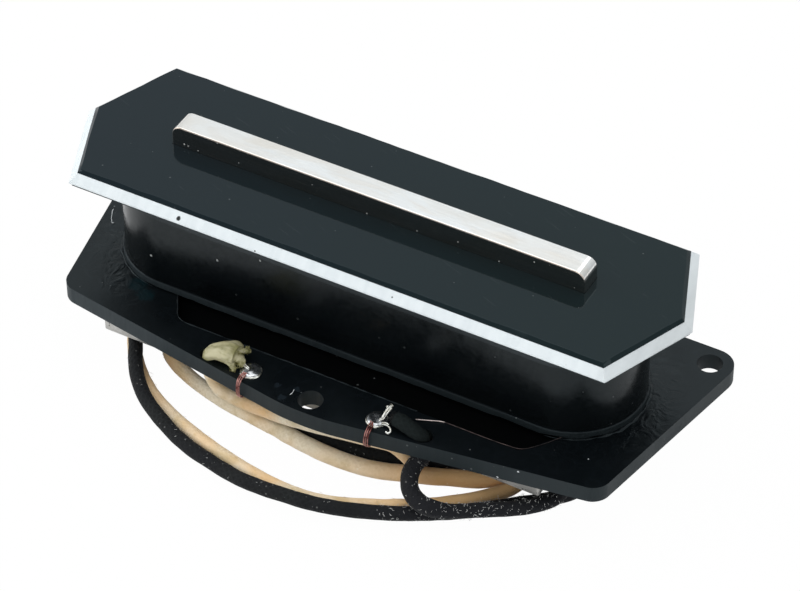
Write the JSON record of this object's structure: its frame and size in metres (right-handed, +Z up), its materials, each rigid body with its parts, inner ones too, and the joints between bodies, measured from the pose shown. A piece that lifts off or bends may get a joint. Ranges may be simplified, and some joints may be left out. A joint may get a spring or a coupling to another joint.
{
  "type": "single-blade guitar pickup with bar magnets",
  "caption": "Guitar pickup with a steel blade, taped coil, bevelled three-ply cover, eared base plate, bar magnets underneath and two cloth-covered leads.",
  "frame": {"origin": "middle of the base plate's top face, the plane that the three mounting screws bear on, in line with the middle of the blade", "axes": "+X along the blade towards the end of the black lead, -Y to the front where the leads leave, +Z up towards the strings"},
  "size_m": [0.0878, 0.0432, 0.0307],
  "materials": {
    "black_fibre": "satin",
    "black_ply": "polished",
    "white_ply": "satin",
    "blade_steel": "polished",
    "magnet_metal": "ground",
    "coil_tape": "gloss",
    "copper": "bare",
    "red_enamel": "gloss",
    "tinned_metal": "satin",
    "solder": "gloss",
    "black_cloth": "waxed braid",
    "cream_cloth": "waxed braid"
  },
  "bodies": {
    "root": {"base_plate": "black_fibre", "blade": "blade_steel", "magnet_front": "magnet_metal", "magnet_rear": "magnet_metal", "bobbin_lower_flange": "black_fibre", "bobbin_core": "black_fibre", "bobbin_upper_flange": "black_fibre", "coil_winding": "copper", "coil_tape": "coil_tape", "cover_base_ply": "black_ply", "cover_core_ply": "white_ply", "cover_top_ply": "black_ply", "eyelet_left": "tinned_metal", "solder_left": "solder", "coil_lead_left": "red_enamel", "conductor_left": "tinned_metal", "lead_start_left": "cream_cloth", "eyelet_right": "tinned_metal", "solder_right": "solder", "coil_lead_right": "red_enamel", "conductor_right": "tinned_metal", "lead_start_right": "black_cloth", "coil_wire": "copper", "lead_black": "black_cloth", "lead_black_end": "tinned_metal", "lead_cream": "cream_cloth", "lead_cream_end": "tinned_metal"}
  },
  "joints": []
}
